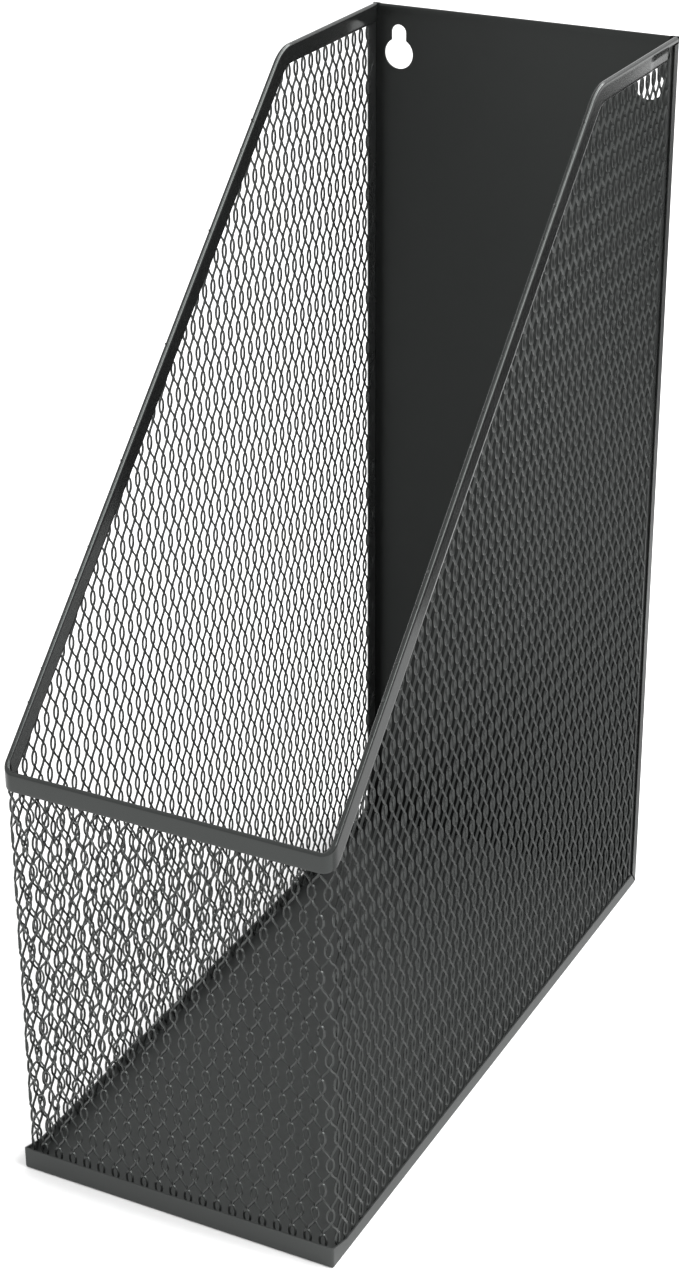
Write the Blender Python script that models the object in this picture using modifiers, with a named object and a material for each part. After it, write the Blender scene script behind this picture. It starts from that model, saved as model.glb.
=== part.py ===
"""Desk magazine file holder in black powder-coated steel.

Front faces -Y, the solid back stands at +Y, the floor lies on Z = 0 and the origin is at the
centre of the footprint. Four pieces: the U-shaped mesh body, the folded rim over its top edge,
the back panel with two keyholes, and the base tray. Units are metres.
"""

import math

import bmesh
import bpy
from mathutils import Matrix, Vector

MM = 0.001

# Driving dimensions.
WIDTH = 110 * MM
DEPTH = 248 * MM
HEIGHT = 318 * MM
FRONT_HEIGHT = 143.7 * MM
TOP_RUN = 68.5 * MM
SLOPE_BEND_RADIUS = 14 * MM
CORNER_RADIUS = 3 * MM

# Sheets and the room between them.
SHEET = 0.5 * MM
MESH_THICKNESS = 0.4 * MM
RIM_SHEET = 0.4 * MM
CLEARANCE = 0.3 * MM
FRONT_INSET = 0.6 * MM
FOLD_RADIUS = 0.7 * MM

# Folded rim: how far its legs reach down, and where the outer leg is cut back to its top roll.
RIM_DEPTH = 6.2 * MM
ROLL_DEPTH = 1.6 * MM
RIM_OUTER_LEG_CUTBACK = 9 * MM
MESH_BELOW_RIM_TOP = 1.3 * MM

# Base tray flanges.
FRONT_FLANGE = 7.5 * MM
SIDE_FLANGE = 5.0 * MM
FLANGE_STEP_LENGTH = 9 * MM

# Back panel flanges, top lip and keyholes.
BACK_FLANGE = 4.0 * MM
BACK_MITRE = 5.3 * MM
FLANGE_TOP_NOTCH = 2.2 * MM
LIP_DEPTH = 1.6 * MM
LIP_DROP = 1.8 * MM
LIP_HALF_WIDTH = 52 * MM
KEYHOLE_X = 45.3 * MM
KEYHOLE_DROP = 16.6 * MM
KEYHOLE_DIAMETER = 10.5 * MM
KEYHOLE_SLOT_WIDTH = 5.4 * MM
KEYHOLE_SLOT_RISE = 7.2 * MM
CUTTER_LENGTH = 4 * MM

# Places that follow from the dimensions above.
BACK_INNER_FACE = DEPTH / 2 - SHEET
PARTS_BACK_END = BACK_INNER_FACE - CLEARANCE
WALL_X = WIDTH / 2 - SHEET - CLEARANCE - MESH_THICKNESS / 2
WALL_FRONT = -DEPTH / 2 + SHEET + CLEARANCE + MESH_THICKNESS / 2 + FRONT_INSET
WALL_BOTTOM = SHEET + CLEARANCE
SIDE_RUN = PARTS_BACK_END - (WALL_FRONT + CORNER_RADIUS)
CORNER_RUN = CORNER_RADIUS * math.pi / 2
FRONT_RUN = 2 * (WALL_X - CORNER_RADIUS)
WRAP_LENGTH = 2 * (SIDE_RUN + CORNER_RUN) + FRONT_RUN
SLOPE_CORNER_Y = DEPTH / 2 - TOP_RUN
SLOPE_ANGLE = math.atan2(HEIGHT - FRONT_HEIGHT, SLOPE_CORNER_Y - WALL_FRONT)
SLOPE_BEND_REACH = SLOPE_BEND_RADIUS * math.tan(SLOPE_ANGLE / 2)

# How finely curves are drawn.
CORNER_STEPS = 10
BEND_STEPS = 8
ROLL_STEPS = 3
LEG_STEPS = 4
FOLD_STEPS = 3
CIRCLE_SIDES = 40
EDGE_PROBE = 0.05 * MM
FOLD_ANGLE = math.radians(40)
FACING = 0.9

TOP = Vector((0, 0, 1))
BOTTOM = Vector((0, 0, -1))
FRONT = Vector((0, -1, 0))
BACK = Vector((0, 1, 0))
SIDE = Vector((1, 0, 0))


def clear_scene():
    for obj in list(bpy.data.objects):
        bpy.data.objects.remove(obj)


def new_collection(name):
    collection = bpy.data.collections.new(name)
    bpy.context.scene.collection.children.link(collection)
    return collection


def paint(name, colour, roughness):
    """A powder-coated surface: paint over steel, so not metallic."""
    material = bpy.data.materials.new(name)
    material.use_nodes = True
    shader = material.node_tree.nodes["Principled BSDF"]
    shader.inputs["Base Color"].default_value = (*colour, 1)
    shader.inputs["Roughness"].default_value = roughness
    shader.inputs["Metallic"].default_value = 0.0
    return material


def new_object(name, bm, collection, material):
    """An object named name that holds the bmesh, with its faces turned one way."""
    bmesh.ops.recalc_face_normals(bm, faces=bm.faces)
    mesh = bpy.data.meshes.new(name)
    bm.to_mesh(mesh)
    bm.free()
    obj = bpy.data.objects.new(name, mesh)
    obj.data.materials.append(material)
    collection.objects.link(obj)
    return obj


def open_box(low, high, open_sides):
    """A bmesh box from low to high without the sides that face the given directions."""
    bm = bmesh.new()
    middle = (Vector(low) + Vector(high)) / 2
    size = Vector(high) - Vector(low)
    bmesh.ops.create_cube(bm, size=1, matrix=Matrix.LocRotScale(middle, None, size))
    bm.normal_update()
    missing = [face for face in bm.faces if any(face.normal.dot(side) > FACING for side in open_sides)]
    bmesh.ops.delete(bm, geom=missing, context="FACES")
    return bm


def cut_edges(bm, point, normal):
    """Adds edges where a plane crosses the faces."""
    geom = [*bm.verts, *bm.edges, *bm.faces]
    bmesh.ops.bisect_plane(bm, geom=geom, plane_co=point, plane_no=normal, dist=EDGE_PROBE)


def extrude(bm, edges, offset):
    """Pulls edges out into faces, and gives the new edges."""
    pulled = bmesh.ops.extrude_edge_only(bm, edges=edges)["geom"]
    verts = [item for item in pulled if isinstance(item, bmesh.types.BMVert)]
    bmesh.ops.translate(bm, verts=verts, vec=offset)
    return [item for item in pulled if isinstance(item, bmesh.types.BMEdge)]


def round_folds(obj):
    """Rounds the fold lines of a sheet that is still an open surface."""
    bevel = obj.modifiers.new("folds", "BEVEL")
    bevel.width = FOLD_RADIUS
    bevel.segments = FOLD_STEPS
    bevel.limit_method = "ANGLE"
    bevel.angle_limit = FOLD_ANGLE


def thicken(obj, thickness, offset):
    """Offset 0 keeps the surface in the middle, -1 keeps it as the side its normals face."""
    solidify = obj.modifiers.new("thickness", "SOLIDIFY")
    solidify.thickness = thickness
    solidify.offset = offset
    solidify.use_even_offset = True


def top_height(y):
    """Height of the body's top edge at depth y: a slope, a rounded bend and a level run."""
    level_from = SLOPE_CORNER_Y + SLOPE_BEND_REACH
    slope_to = SLOPE_CORNER_Y - SLOPE_BEND_REACH * math.cos(SLOPE_ANGLE)
    if y >= level_from:
        return HEIGHT
    if y <= slope_to:
        return FRONT_HEIGHT + (y - WALL_FRONT) * math.tan(SLOPE_ANGLE)
    centre = HEIGHT - SLOPE_BEND_RADIUS
    return centre + math.sqrt(SLOPE_BEND_RADIUS**2 - (level_from - y) ** 2)


def plan_point(s):
    """Place and outward normal at the length s along the wall, from left back to right back."""
    if s > WRAP_LENGTH / 2:
        x, y, nx, ny = plan_point(WRAP_LENGTH - s)
        return -x, y, -nx, ny
    if s <= SIDE_RUN:
        return -WALL_X, PARTS_BACK_END - s, -1.0, 0.0
    centre_x = -WALL_X + CORNER_RADIUS
    if s >= SIDE_RUN + CORNER_RUN:
        return centre_x + s - SIDE_RUN - CORNER_RUN, WALL_FRONT, 0.0, -1.0
    angle = (s - SIDE_RUN) / CORNER_RADIUS
    nx = -math.cos(angle)
    ny = -math.sin(angle)
    return centre_x + CORNER_RADIUS * nx, WALL_FRONT + CORNER_RADIUS * (1 + ny), nx, ny


def wall_point(s, z, outward):
    x, y, nx, ny = plan_point(s)
    return x + nx * outward, y + ny * outward, z


def edge_point(s):
    """The body's top edge on the unrolled wall, as length and height."""
    return s, top_height(plan_point(s)[1])


def edge_down(s):
    """Unit direction on the unrolled wall, square to the top edge and into the wall."""
    s0, z0 = edge_point(max(s - EDGE_PROBE, 0))
    s1, z1 = edge_point(min(s + EDGE_PROBE, WRAP_LENGTH))
    length = math.hypot(s1 - s0, z1 - z0)
    return (z1 - z0) / length, (s0 - s1) / length


def spread(start, end, steps):
    return [start + (end - start) * i / steps for i in range(steps + 1)]


def wall_stations():
    """Lengths along the wall where it is drawn: closer together round every bend."""
    bend_at = PARTS_BACK_END - SLOPE_CORNER_Y
    bend_end = bend_at + SLOPE_BEND_REACH * math.cos(SLOPE_ANGLE)
    half = [0.0, RIM_OUTER_LEG_CUTBACK]
    half += spread(bend_at - SLOPE_BEND_REACH, bend_end, BEND_STEPS)
    half += spread(SIDE_RUN, SIDE_RUN + CORNER_RUN, CORNER_STEPS)
    return half + [WRAP_LENGTH - s for s in reversed(half)]


def make_mesh_body(collection):
    """The expanded-metal wall as a plain sheet of the same outline."""
    bm = bmesh.new()
    foot = [bm.verts.new(wall_point(s, WALL_BOTTOM, 0)) for s in wall_stations()]
    edges = [bm.edges.new(pair) for pair in zip(foot, foot[1:])]
    extrude(bm, edges, TOP * HEIGHT)
    for vert in bm.verts:
        if vert.co.z > WALL_BOTTOM + EDGE_PROBE:
            vert.co.z = top_height(vert.co.y) - MESH_BELOW_RIM_TOP
    obj = new_object("mesh_body", bm, collection, paint("mesh paint", (0.030, 0.032, 0.032), 0.5))
    thicken(obj, MESH_THICKNESS, 0)


def rim_section():
    """Middle line of the folded strip: (outward, down) from the outer leg over to the inner."""
    leg = MESH_THICKNESS / 2 + CLEARANCE + RIM_SHEET / 2
    centre = RIM_SHEET / 2 + leg
    outer = [(leg, down) for down in spread(RIM_DEPTH, ROLL_DEPTH, LEG_STEPS)]
    for angle in spread(0, math.pi / 2, ROLL_STEPS):
        outer.append((leg * math.cos(angle), centre - leg * math.sin(angle)))
    return outer + [(-out, down) for out, down in reversed(outer[:-1])]


def rim_row(out, down):
    """One line of the strip along the whole edge, at a fixed place in its section."""
    row = []
    for s in wall_stations():
        along, drop = edge_down(s)
        edge_s, edge_z = edge_point(s)
        row.append(wall_point(edge_s + along * down, edge_z + drop * down, out))
    return row


def make_rim(collection):
    """The strip folded over the wall's top edge, its outer leg stopping short of the back."""
    bm = bmesh.new()
    grid = [[bm.verts.new(point) for point in rim_row(*place)] for place in rim_section()]
    for upper, lower in zip(grid, grid[1:]):
        for i in range(len(upper) - 1):
            bm.faces.new((upper[i], upper[i + 1], lower[i + 1], lower[i]))
    leg = {vert for row in grid[: LEG_STEPS + 1] for vert in row}
    ends = {row[i] for row in grid for i in (0, -1)}
    cut_off = [face for face in bm.faces if leg.issuperset(face.verts) and ends & set(face.verts)]
    bmesh.ops.delete(bm, geom=cut_off, context="FACES")
    obj = new_object("top_rim", bm, collection, paint("rim paint", (0.045, 0.047, 0.047), 0.42))
    thicken(obj, RIM_SHEET, 0)


def adopt_cutter(name, collection):
    """Keeps the primitive just added as a hidden cutter in its own collection."""
    cutter = bpy.context.object
    cutter.name = name
    cutter.hide_render = True
    cutter.display_type = "WIRE"
    for owner in list(cutter.users_collection):
        owner.objects.unlink(cutter)
    collection.objects.link(cutter)
    return cutter


def keyhole_cutters(side, collection):
    """Round head, round slot end and the slot between them, each longer than the sheet is thick."""
    x = side * KEYHOLE_X
    head_z = HEIGHT - KEYHOLE_DROP
    slot_z = head_z + KEYHOLE_SLOT_RISE
    discs = (("head", KEYHOLE_DIAMETER, head_z), ("slot end", KEYHOLE_SLOT_WIDTH, slot_z))
    for name, diameter, z in discs:
        bpy.ops.mesh.primitive_cylinder_add(
            vertices=CIRCLE_SIDES,
            radius=diameter / 2,
            depth=CUTTER_LENGTH,
            location=(x, BACK_INNER_FACE, z),
            rotation=(math.pi / 2, 0, 0),
        )
        yield adopt_cutter(f"keyhole {name}", collection)
    bpy.ops.mesh.primitive_cube_add(size=1, location=(x, BACK_INNER_FACE, (head_z + slot_z) / 2))
    slot = adopt_cutter("keyhole slot", collection)
    slot.scale = (KEYHOLE_SLOT_WIDTH, CUTTER_LENGTH, KEYHOLE_SLOT_RISE)
    yield slot


def back_panel_surface():
    """Outer surface of the back panel: flanges mitred at the foot and notched under the rim."""
    low = (-WIDTH / 2, DEPTH / 2 - BACK_FLANGE, 0)
    bm = open_box(low, (WIDTH / 2, DEPTH / 2, HEIGHT), (FRONT, TOP, BOTTOM))
    for z in (BACK_MITRE, HEIGHT - FLANGE_TOP_NOTCH):
        cut_edges(bm, TOP * z, TOP)
    for x in (-LIP_HALF_WIDTH, LIP_HALF_WIDTH):
        cut_edges(bm, SIDE * x, SIDE)
    notch = HEIGHT - FLANGE_TOP_NOTCH
    flange_tops = [
        face
        for face in bm.faces
        if face.calc_center_median().z > notch and abs(face.normal.x) > FACING
    ]
    bmesh.ops.delete(bm, geom=flange_tops, context="FACES")
    for vert in bm.verts:
        if vert.co.z < EDGE_PROBE:
            vert.co.y = DEPTH / 2
    bmesh.ops.remove_doubles(bm, verts=bm.verts, dist=EDGE_PROBE)
    return bm


def add_top_lip(bm):
    """Folds the top edge of the panel forward and down, clear of the rim at both ends."""
    reach = LIP_HALF_WIDTH + EDGE_PROBE
    top_edge = [
        edge
        for edge in bm.edges
        if all(vert.co.z > HEIGHT - EDGE_PROBE and abs(vert.co.x) < reach for vert in edge.verts)
    ]
    folded = extrude(bm, top_edge, FRONT * LIP_DEPTH)
    extrude(bm, folded, BOTTOM * LIP_DROP)


def make_back_panel(collection, cutters):
    bm = back_panel_surface()
    add_top_lip(bm)
    obj = new_object("back_panel", bm, collection, paint("back paint", (0.034, 0.036, 0.036), 0.45))
    round_folds(obj)
    thicken(obj, SHEET, -1)
    for side in (-1, 1):
        for cutter in keyhole_cutters(side, cutters):
            cut = obj.modifiers.new(cutter.name, "BOOLEAN")
            cut.operation = "DIFFERENCE"
            cut.object = cutter


def make_base_tray(collection):
    """The floor with upturned flanges: higher along the front, mitred at the back."""
    front = -DEPTH / 2
    low = (-WIDTH / 2, front, 0)
    bm = open_box(low, (WIDTH / 2, PARTS_BACK_END, SIDE_FLANGE), (TOP, BACK))
    cut_edges(bm, BACK * (front + FLANGE_STEP_LENGTH), BACK)
    for vert in bm.verts:
        if vert.co.z < EDGE_PROBE:
            continue
        if vert.co.y < front + EDGE_PROBE:
            vert.co.z = FRONT_FLANGE
        if vert.co.y > PARTS_BACK_END - EDGE_PROBE:
            vert.co.y -= SIDE_FLANGE * BACK_FLANGE / BACK_MITRE
    obj = new_object("base_tray", bm, collection, paint("tray paint", (0.040, 0.042, 0.042), 0.45))
    round_folds(obj)
    thicken(obj, SHEET, -1)


def main():
    clear_scene()
    parts = new_collection("magazine file holder")
    cutters = new_collection("cutters")
    make_base_tray(parts)
    make_mesh_body(parts)
    make_rim(parts)
    make_back_panel(parts, cutters)


main()
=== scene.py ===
"""Looks of the desk magazine file holder: expanded-metal strands, folded rim, powder coat, light."""

import math

import bpy
import numpy as np
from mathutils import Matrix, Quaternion, Vector


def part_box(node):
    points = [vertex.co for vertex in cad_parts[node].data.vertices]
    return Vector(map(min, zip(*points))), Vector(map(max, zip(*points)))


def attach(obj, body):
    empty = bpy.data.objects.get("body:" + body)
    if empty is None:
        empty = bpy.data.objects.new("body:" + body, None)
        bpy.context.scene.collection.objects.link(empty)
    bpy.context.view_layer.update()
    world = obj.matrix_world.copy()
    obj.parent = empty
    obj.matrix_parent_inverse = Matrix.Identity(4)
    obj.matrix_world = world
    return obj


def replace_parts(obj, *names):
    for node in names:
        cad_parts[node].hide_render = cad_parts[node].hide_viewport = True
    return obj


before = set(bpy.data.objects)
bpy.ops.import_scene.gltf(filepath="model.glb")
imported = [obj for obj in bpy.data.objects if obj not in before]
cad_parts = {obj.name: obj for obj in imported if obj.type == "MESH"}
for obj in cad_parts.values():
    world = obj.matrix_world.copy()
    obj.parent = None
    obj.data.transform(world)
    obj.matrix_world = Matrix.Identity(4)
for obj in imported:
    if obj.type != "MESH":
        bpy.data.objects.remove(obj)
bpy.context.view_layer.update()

MM = 0.001

# Outline of the wall, as in the CAD source.
FRONT_HEIGHT = 143.7 * MM
TOP_RUN = 68.5 * MM
SLOPE_BEND_RADIUS = 14 * MM
CORNER_RADIUS = 3 * MM
MESH_THICKNESS = 0.4 * MM
RIM_OUTER_LEG_CUTBACK = 9 * MM

# Expanded metal: rows of upright eyes, each row half a pitch along from the next.
PITCH = 5.2 * MM
STRAND_SPACING = PITCH / 2
ROW = 9.4 * MM
FIRST_ROW = 8.1 * MM
EYE_HEIGHT = 4.9 * MM
EYE_BULGE = 1.15 * MM
STRAND_WIDTH = 0.6 * MM
STRAND_THICKNESS = 0.48 * MM
STRAND_TILT = math.radians(-35)
FIRST_STRAND = 4 * MM
EYE_STEPS = 6
LINK_STEPS = 3

# Solid margin at the sheet's back ends, its outer face brought nearer to the back's flange.
MARGIN = 5.5 * MM
MARGIN_OUTER_FACE = 0.3 * MM

# Folded rim: a strip with two legs under a rolled top, which has a fine groove along it.
RIM_DEPTH = 6.2 * MM
RIM_SHEET = 0.4 * MM
RIM_HALF = 0.9 * MM
FOOT_TAPER = 0.07 * MM
FOOT_TAPER_HEIGHT = 0.35 * MM
ROLL_DEPTH = 1.6 * MM
LEG_STEPS = 6
ROLL_STEPS = 11
GROOVE_STEP = 7
GROOVE_DEPTH = 0.07 * MM
JOGGLE_AT = 23 * MM
JOGGLE_LENGTH = 1.6 * MM
JOGGLE_DEPTH = 0.2 * MM
JOGGLE_STATIONS = 9
BEND_STATIONS = 17
SLOPE_STATIONS = 40

# A hair along the edge, for its slope and for the step at the cut-back.
NUDGE = 0.05 * MM

SHARP_ANGLE = math.radians(35)

# Powder coat: faint clouds in tone and gloss, orange peel, and a green cast in the reflections.
CLOUD_SCALE = 45
CLOUD_DETAIL = 4
DARK_CLOUD = (0.86, 0.9, 0.9)
LIGHT_CLOUD = (1.12, 1.16, 1.14)
ROUGHNESS_SPREAD = 0.05
PEEL_SCALE = 2600
PEEL_DETAIL = 2
PEEL_DEPTH = 0.05 * MM
GREENISH = (0.94, 1, 0.97, 1)

# Camera: its direction, and its place from the holder's middle along its own axes.
AZIMUTH = math.radians(27.2)
ELEVATION = math.radians(26.38)
ROLL = math.radians(-0.29)
CAMERA_OFFSET = Vector((-4.9, -11.9, 853.8)) * MM
LENS = 75.7

# Studio: white world, one wide softbox, pale floor.
WORLD_STRENGTH = 1.18
SOFTBOX_PLACE = Vector((1.05, 0.45, 1.25))
SOFTBOX_SIZE = (2.4, 0.8)
SOFTBOX_POWER = 52
FLOOR_SIZE = 12
FLOOR_TONE = 0.92
FLOOR_DROP = 0.05 * MM

# Two black cards and a grey one on the floor, as (x, y) corners, seen only in reflections.
CARD_HEIGHT = 0.5 * MM
BLACK_TONE = 0.01
GREY_TONE = 0.5
BACK_CARD = ((0.2, 0.29), (2.4, 1.25))
RIGHT_CARD = ((0.45, -0.8), (2.4, 0.29))
NEAR_CARD = ((0.06, -0.12), (0.32, 0.29))

# Measures of the wall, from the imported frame.
mesh_low, mesh_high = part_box("mesh_body")
back_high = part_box("back_panel")[1]

HEIGHT = back_high.z
MIDDLE = Vector((0, 0, HEIGHT / 2))
WALL_X = mesh_high.x - MESH_THICKNESS / 2
WALL_FRONT = mesh_low.y + MESH_THICKNESS / 2
WALL_BACK = mesh_high.y
WALL_BOTTOM = mesh_low.z
MESH_BELOW_RIM_TOP = HEIGHT - mesh_high.z
SIDE_RUN = WALL_BACK - WALL_FRONT - CORNER_RADIUS
CORNER_RUN = CORNER_RADIUS * math.pi / 2
WRAP_LENGTH = 2 * (SIDE_RUN + CORNER_RUN + WALL_X - CORNER_RADIUS)
SLOPE_CORNER_Y = back_high.y - TOP_RUN
SLOPE_ANGLE = math.atan2(HEIGHT - FRONT_HEIGHT, SLOPE_CORNER_Y - WALL_FRONT)
SLOPE_BEND_REACH = SLOPE_BEND_RADIUS * math.tan(SLOPE_ANGLE / 2)


def plan(s):
    """Place and outward normal (x, y, nx, ny) at lengths s along the wall, left back to right back."""
    side = np.where(s > WRAP_LENGTH / 2, 1.0, -1.0)
    near = np.minimum(s, WRAP_LENGTH - s)
    angle = np.clip((near - SIDE_RUN) / CORNER_RADIUS, 0, math.pi / 2)
    nx, ny = np.cos(angle), -np.sin(angle)
    along_front = np.clip(near - SIDE_RUN - CORNER_RUN, 0, None)
    x = WALL_X - CORNER_RADIUS * (1 - nx) - along_front
    y = WALL_BACK - np.minimum(near, SIDE_RUN) + CORNER_RADIUS * ny
    return side * x, y, side * nx, ny


def top_height(s):
    """Height of the wall's top edge: level at the back, a rounded bend, a slope to the front."""
    y = plan(s)[1]
    level_from = SLOPE_CORNER_Y + SLOPE_BEND_REACH
    slope_to = SLOPE_CORNER_Y - SLOPE_BEND_REACH * math.cos(SLOPE_ANGLE)
    slope = FRONT_HEIGHT + (y - WALL_FRONT) * math.tan(SLOPE_ANGLE)
    into_bend = np.clip(level_from - y, 0, SLOPE_BEND_RADIUS)
    bend = HEIGHT - SLOPE_BEND_RADIUS + np.sqrt(SLOPE_BEND_RADIUS**2 - into_bend**2)
    return np.where(y <= slope_to, slope, bend)


def to_wall(points):
    """Points (length, outward, height) on the unrolled wall, folded up into the holder's shape."""
    s, out, z = points[..., 0], points[..., 1], points[..., 2]
    x, y, nx, ny = plan(s)
    return np.stack((x + nx * out, y + ny * out, z), axis=-1)


def unit(vectors):
    """The vectors at length 1."""
    return vectors / np.linalg.norm(vectors, axis=-1, keepdims=True)


def tube_faces(rings, sides):
    """Quads along a tube of rings with the given number of sides, and its two end caps."""
    ring = np.arange(sides)
    following = np.roll(ring, -1)
    quad = np.stack((ring, following, following + sides, ring + sides), axis=-1)
    starts = sides * np.arange(rings - 1)
    quads = (quad[None] + starts[:, None, None]).reshape(-1, 4).tolist()
    last = sides * (rings - 1)
    return quads + [ring[::-1].tolist(), (ring + last).tolist()]


def add_piece(name, parts, material):
    """One object from (vertices, faces) parts, riding on the holder's body."""
    vertices = np.concatenate([part[0] for part in parts])
    faces = []
    offset = 0
    for part_vertices, part_faces in parts:
        faces += [[index + offset for index in face] for face in part_faces]
        offset += len(part_vertices)
    mesh = bpy.data.meshes.new(name)
    mesh.from_pydata(vertices.tolist(), [], faces)
    mesh.shade_smooth()
    mesh.set_sharp_from_angle(angle=SHARP_ANGLE)
    mesh.materials.append(material)
    piece = bpy.data.objects.new(name, mesh)
    bpy.context.scene.collection.objects.link(piece)
    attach(piece, "root")
    return piece


def strand_wave():
    """Heights and sideways offsets of one strand: round an eye, across to the next row, and on."""
    rows = math.ceil(HEIGHT / ROW) + 1
    turn = np.linspace(-math.pi / 2, math.pi / 2, EYE_STEPS + 1)
    link = np.linspace(0, 1, LINK_STEPS + 1)[1:-1]
    gap = ROW - EYE_HEIGHT
    heights, offsets = [], []
    for row in range(-1, rows):
        side = -1 if row % 2 else 1
        centre = FIRST_ROW + row * ROW
        heights += [centre + np.sin(turn) * EYE_HEIGHT / 2, centre + EYE_HEIGHT / 2 + link * gap]
        bulge = EYE_BULGE * np.cos(turn)
        offsets += [side * (PITCH / 4 + bulge), side * PITCH / 4 * np.cos(math.pi * link)]
    return np.concatenate(heights), np.concatenate(offsets)


def strand(centre, side, wave):
    """One wavy strand of flat section, tilted out of the sheet by the stretching."""
    heights, offsets = wave
    top = float(top_height(np.array(centre))) - MESH_BELOW_RIM_TOP
    inner = heights[(heights > WALL_BOTTOM) & (heights < top)]
    z = np.concatenate(([WALL_BOTTOM], inner, [top]))
    s = centre + side * np.interp(z, heights, offsets)
    slope = side * np.interp(z, heights, np.gradient(offsets, heights))
    middle = np.stack((s, np.zeros_like(z), z), axis=-1)
    along = unit(np.stack((slope, np.zeros_like(z), np.ones_like(z)), axis=-1))
    face = np.array((math.sin(STRAND_TILT), math.cos(STRAND_TILT), 0))
    face = unit(face - along * (along @ face)[:, None])
    across = np.cross(along, face)
    corners = [
        middle + across * u * STRAND_WIDTH / 2 + face * v * STRAND_THICKNESS / 2
        for u, v in ((-1, -1), (1, -1), (1, 1), (-1, 1))
    ]
    points = np.stack(corners, axis=1).reshape(-1, 3)
    points[:, 2] = np.clip(points[:, 2], WALL_BOTTOM, top)
    return to_wall(points), tube_faces(len(z), len(corners))


def margin_strip(start, end):
    """The solid edge of the sheet, where it is not slit."""
    start_top, end_top = top_height(np.array((start, end))) - MESH_BELOW_RIM_TOP
    outline = np.array(((start, WALL_BOTTOM), (end, WALL_BOTTOM), (end, end_top), (start, start_top)))
    layers = [np.insert(outline, 1, out, axis=1) for out in (-MESH_THICKNESS / 2, MARGIN_OUTER_FACE)]
    return to_wall(np.concatenate(layers)), tube_faces(len(layers), len(outline))


def add_expanded_metal(material):
    """The wall in three pieces of strands, with the solid margins at its back ends."""
    wave = strand_wave()
    count = int((WRAP_LENGTH - 2 * FIRST_STRAND) / STRAND_SPACING) + 1
    centres = WRAP_LENGTH / 2 + (np.arange(count) - (count - 1) / 2) * STRAND_SPACING
    strands = [(centre, strand(centre, -1 if i % 2 else 1, wave)) for i, centre in enumerate(centres)]
    front_from = SIDE_RUN
    front_to = WRAP_LENGTH - SIDE_RUN
    left = [part for centre, part in strands if centre < front_from]
    front = [part for centre, part in strands if front_from <= centre <= front_to]
    right = [part for centre, part in strands if centre > front_to]
    left.append(margin_strip(0, MARGIN))
    right.append(margin_strip(WRAP_LENGTH, WRAP_LENGTH - MARGIN))
    for name, parts in (("mesh_left", left), ("mesh_front", front), ("mesh_right", right)):
        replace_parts(add_piece(name, parts, material), "mesh_body")


def rim_stations():
    """Lengths along the wall where the rim is drawn, closer together round every bend."""
    bend_at = WALL_BACK - SLOPE_CORNER_Y
    bend_end = bend_at + SLOPE_BEND_REACH * math.cos(SLOPE_ANGLE)
    half = np.concatenate(
        (
            [0, RIM_OUTER_LEG_CUTBACK - NUDGE, RIM_OUTER_LEG_CUTBACK],
            np.linspace(JOGGLE_AT - JOGGLE_LENGTH, JOGGLE_AT + JOGGLE_LENGTH, JOGGLE_STATIONS),
            np.linspace(bend_at - SLOPE_BEND_REACH, bend_end, BEND_STATIONS),
            np.linspace(bend_end, SIDE_RUN, SLOPE_STATIONS)[1:],
            np.linspace(SIDE_RUN, SIDE_RUN + CORNER_RUN, BEND_STATIONS)[1:],
        )
    )
    return np.concatenate((half, WRAP_LENGTH - half[::-1]))


def rim_outline():
    """Outer half of the folded strip's section as (outward, down): foot, leg and grooved roll."""
    leg = [(RIM_HALF - FOOT_TAPER, RIM_DEPTH), (RIM_HALF, RIM_DEPTH - FOOT_TAPER_HEIGHT)]
    leg += [(RIM_HALF, down) for down in np.linspace(RIM_DEPTH, ROLL_DEPTH, LEG_STEPS)[1:]]
    turn = np.linspace(0, math.pi / 2, ROLL_STEPS)
    radius = np.full(ROLL_STEPS, RIM_HALF)
    radius[GROOVE_STEP] -= GROOVE_DEPTH
    roll = np.stack((radius * np.cos(turn), RIM_HALF - radius * np.sin(turn)), axis=-1)
    return np.concatenate((leg, roll))


def rim_section():
    """Closed section of the folded strip, from its outer foot over to the inner foot and back."""
    outer = rim_outline()
    lining_share = 1 - RIM_SHEET / RIM_HALF
    lining = outer.copy()
    lining[:, 0] *= lining_share
    rolled = outer[:, 1] < RIM_HALF
    lining[rolled, 1] = RIM_HALF - (RIM_HALF - outer[rolled, 1]) * lining_share
    return np.concatenate((outer, outer[-2::-1] * (-1, 1), lining * (-1, 1), lining[-2::-1]))


def edge_down(s):
    """Directions (along, up) on the unrolled wall, square to its top edge and into the wall."""
    before = np.maximum(s - NUDGE, 0)
    after = np.minimum(s + NUDGE, WRAP_LENGTH)
    rise = top_height(after) - top_height(before)
    run = after - before
    length = np.hypot(rise, run)
    return rise / length, -run / length


def add_rim(material):
    """The strip folded over the wall's edge, with a joggle and a cut-back outer leg near the back."""
    stations = rim_stations()
    section = rim_section()
    along, up = edge_down(stations)
    edge = top_height(stations)
    near_back = np.minimum(stations, WRAP_LENGTH - stations)
    pressed = JOGGLE_DEPTH * np.clip((JOGGLE_AT + JOGGLE_LENGTH - near_back) / JOGGLE_LENGTH / 2, 0, 1)
    points = []
    for out, down in section:
        depth = np.full_like(stations, down)
        outward = np.full_like(stations, out)
        on_outer_leg = out > 0 and down > ROLL_DEPTH
        if on_outer_leg:
            depth[near_back < RIM_OUTER_LEG_CUTBACK] = ROLL_DEPTH
            outward -= pressed
        points.append(np.stack((stations + along * depth, outward, edge + up * depth), axis=-1))
    rings = np.stack(points, axis=1)
    faces = tube_faces(len(stations), len(section))
    rim = add_piece("folded_rim", [(to_wall(rings.reshape(-1, 3)), faces)], material)
    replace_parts(rim, "top_rim")


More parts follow.
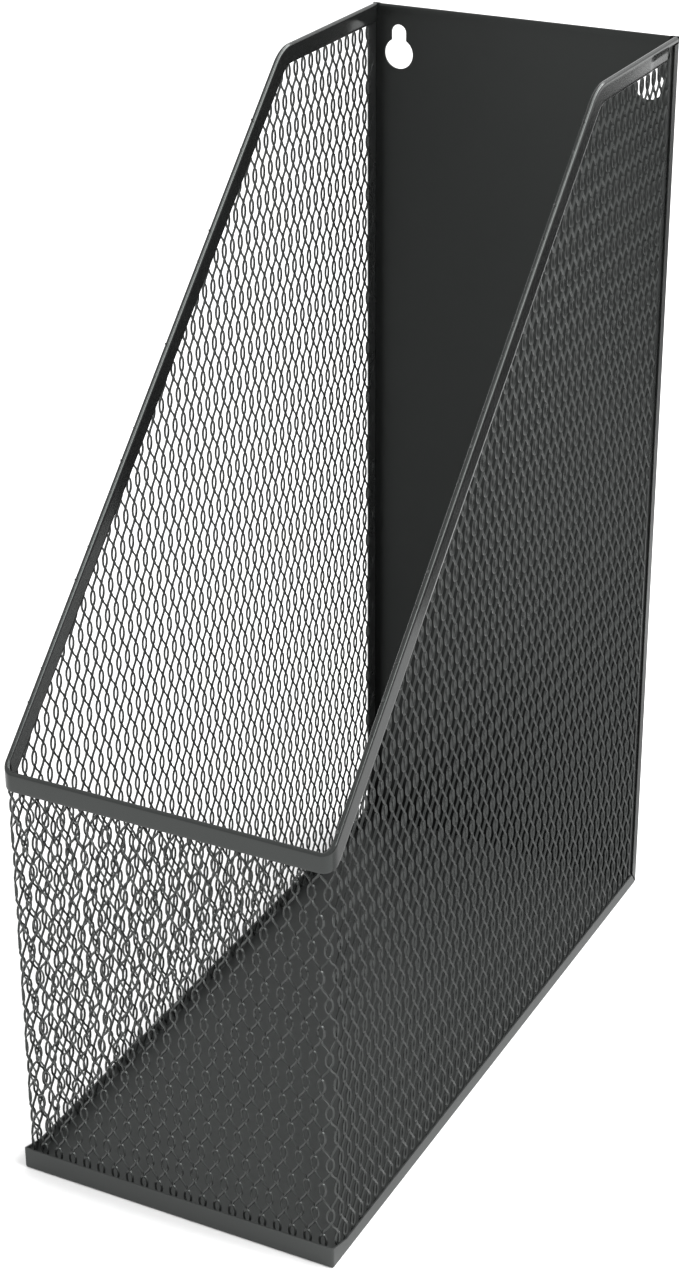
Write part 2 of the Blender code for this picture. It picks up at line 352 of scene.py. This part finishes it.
def add_noise(tree, scale, detail):
    """Output of a noise texture that is fixed to the object."""
    place = tree.nodes.new("ShaderNodeTexCoord")
    noise = tree.nodes.new("ShaderNodeTexNoise")
    noise.inputs["Scale"].default_value = scale
    noise.inputs["Detail"].default_value = detail
    tree.links.new(place.outputs["Object"], noise.inputs["Vector"])
    return noise.outputs["Fac"]


def powder_coat(name, tone, roughness, gloss, peel):
    """Black powder coat: fine orange peel, and faint clouds in its tone and gloss."""
    material = bpy.data.materials.new(name)
    material.use_nodes = True
    tree = material.node_tree
    shader = tree.nodes["Principled BSDF"]
    shader.inputs["Specular IOR Level"].default_value = gloss
    shader.inputs["Specular Tint"].default_value = GREENISH

    clouds = add_noise(tree, CLOUD_SCALE, CLOUD_DETAIL)
    shade = tree.nodes.new("ShaderNodeMix")
    shade.data_type = "RGBA"
    for socket, tint in (("A", DARK_CLOUD), ("B", LIGHT_CLOUD)):
        shade.inputs[socket].default_value = (*(tone * channel for channel in tint), 1)
    tree.links.new(clouds, shade.inputs["Factor"])
    tree.links.new(shade.outputs["Result"], shader.inputs["Base Color"])

    polish = tree.nodes.new("ShaderNodeMapRange")
    polish.inputs["To Min"].default_value = roughness - ROUGHNESS_SPREAD
    polish.inputs["To Max"].default_value = roughness + ROUGHNESS_SPREAD
    tree.links.new(clouds, polish.inputs["Value"])
    tree.links.new(polish.outputs["Result"], shader.inputs["Roughness"])

    bump = tree.nodes.new("ShaderNodeBump")
    bump.inputs["Strength"].default_value = peel
    bump.inputs["Distance"].default_value = PEEL_DEPTH
    tree.links.new(add_noise(tree, PEEL_SCALE, PEEL_DETAIL), bump.inputs["Height"])
    tree.links.new(bump.outputs["Normal"], shader.inputs["Normal"])
    return material


def repaint(node, material):
    """A carried-over CAD node keeps its shape and takes the finish."""
    for material_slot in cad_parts[node].material_slots:
        material_slot.material = material


def studio_material(name, tone, roughness, gloss):
    """A plain neutral material for the studio."""
    material = bpy.data.materials.new(name)
    material.use_nodes = True
    shader = material.node_tree.nodes["Principled BSDF"]
    shader.inputs["Base Color"].default_value = (tone, tone, tone, 1)
    shader.inputs["Roughness"].default_value = roughness
    shader.inputs["Specular IOR Level"].default_value = gloss
    return material


def add_plane(name, corners, z, material):
    """A level rectangle of the studio between two (x, y) corners, not part of the object."""
    (x0, y0), (x1, y1) = corners
    bpy.ops.mesh.primitive_plane_add(size=1, location=((x0 + x1) / 2, (y0 + y1) / 2, z))
    plane = bpy.context.object
    plane.name = name
    plane.scale = (x1 - x0, y1 - y0, 1)
    plane.data.materials.append(material)
    return plane


def add_floor():
    """The pale floor, a hair below the holder's base."""
    paper = studio_material("floor paper", FLOOR_TONE, roughness=0.9, gloss=0.1)
    reach = FLOOR_SIZE / 2
    add_plane("floor", ((-reach, -reach), (reach, reach)), -FLOOR_DROP, paper)


def add_card(name, corners, tone):
    """A card lying on the floor that only shows as its mirror image in the paint."""
    velvet = studio_material(name + " velvet", tone, roughness=0.5, gloss=0)
    card = add_plane(name, corners, CARD_HEIGHT, velvet)
    card.visible_camera = False
    card.visible_diffuse = False
    card.visible_shadow = False


def add_world():
    """Even white light from all round."""
    world = bpy.data.worlds.new("white studio")
    world.use_nodes = True
    background = world.node_tree.nodes["Background"]
    background.inputs["Color"].default_value = (1, 1, 1, 1)
    background.inputs["Strength"].default_value = WORLD_STRENGTH
    bpy.context.scene.world = world


def add_softbox():
    """A wide area light above and to the right, aimed at the holder, its length running level."""
    light = bpy.data.lights.new("softbox", "AREA")
    light.shape = "RECTANGLE"
    light.size, light.size_y = SOFTBOX_SIZE
    light.energy = SOFTBOX_POWER
    lamp = bpy.data.objects.new("softbox", light)
    lamp.location = SOFTBOX_PLACE
    lamp.rotation_euler = (MIDDLE - SOFTBOX_PLACE).to_track_quat("-Z", "Y").to_euler()
    bpy.context.scene.collection.objects.link(lamp)


def add_camera():
    """The camera, above the holder's front right and looking down into it."""
    data = bpy.data.cameras.new("camera")
    data.lens = LENS
    camera = bpy.data.objects.new("camera", data)
    back = Vector((math.sin(AZIMUTH), -math.cos(AZIMUTH), math.tan(ELEVATION))).normalized()
    turn = back.to_track_quat("Z", "Y") @ Quaternion((0, 0, 1), ROLL)
    camera.rotation_euler = turn.to_euler()
    camera.location = MIDDLE + turn @ CAMERA_OFFSET
    bpy.context.scene.collection.objects.link(camera)
    bpy.context.scene.camera = camera


def main():
    bpy.context.scene.view_settings.view_transform = "Standard"
    # One black powder coat on all four parts, with tones set part by part to how bright each looks
    # under this light. The back coat's far lower tone is painted shade for the holder's shaded inside.
    add_expanded_metal(powder_coat("mesh coat", tone=0.0125, roughness=0.28, gloss=0.52, peel=0.15))
    add_rim(powder_coat("rim coat", tone=0.007, roughness=0.18, gloss=0.5, peel=0.12))
    repaint("back_panel", powder_coat("back coat", tone=0.004, roughness=0.38, gloss=0.37, peel=0.25))
    repaint("base_tray", powder_coat("tray coat", tone=0.0175, roughness=0.5, gloss=0.5, peel=0.25))
    add_floor()
    add_world()
    add_softbox()
    add_card("back card", BACK_CARD, BLACK_TONE)
    add_card("right card", RIGHT_CARD, BLACK_TONE)
    add_card("near card", NEAR_CARD, GREY_TONE)
    add_camera()


main()
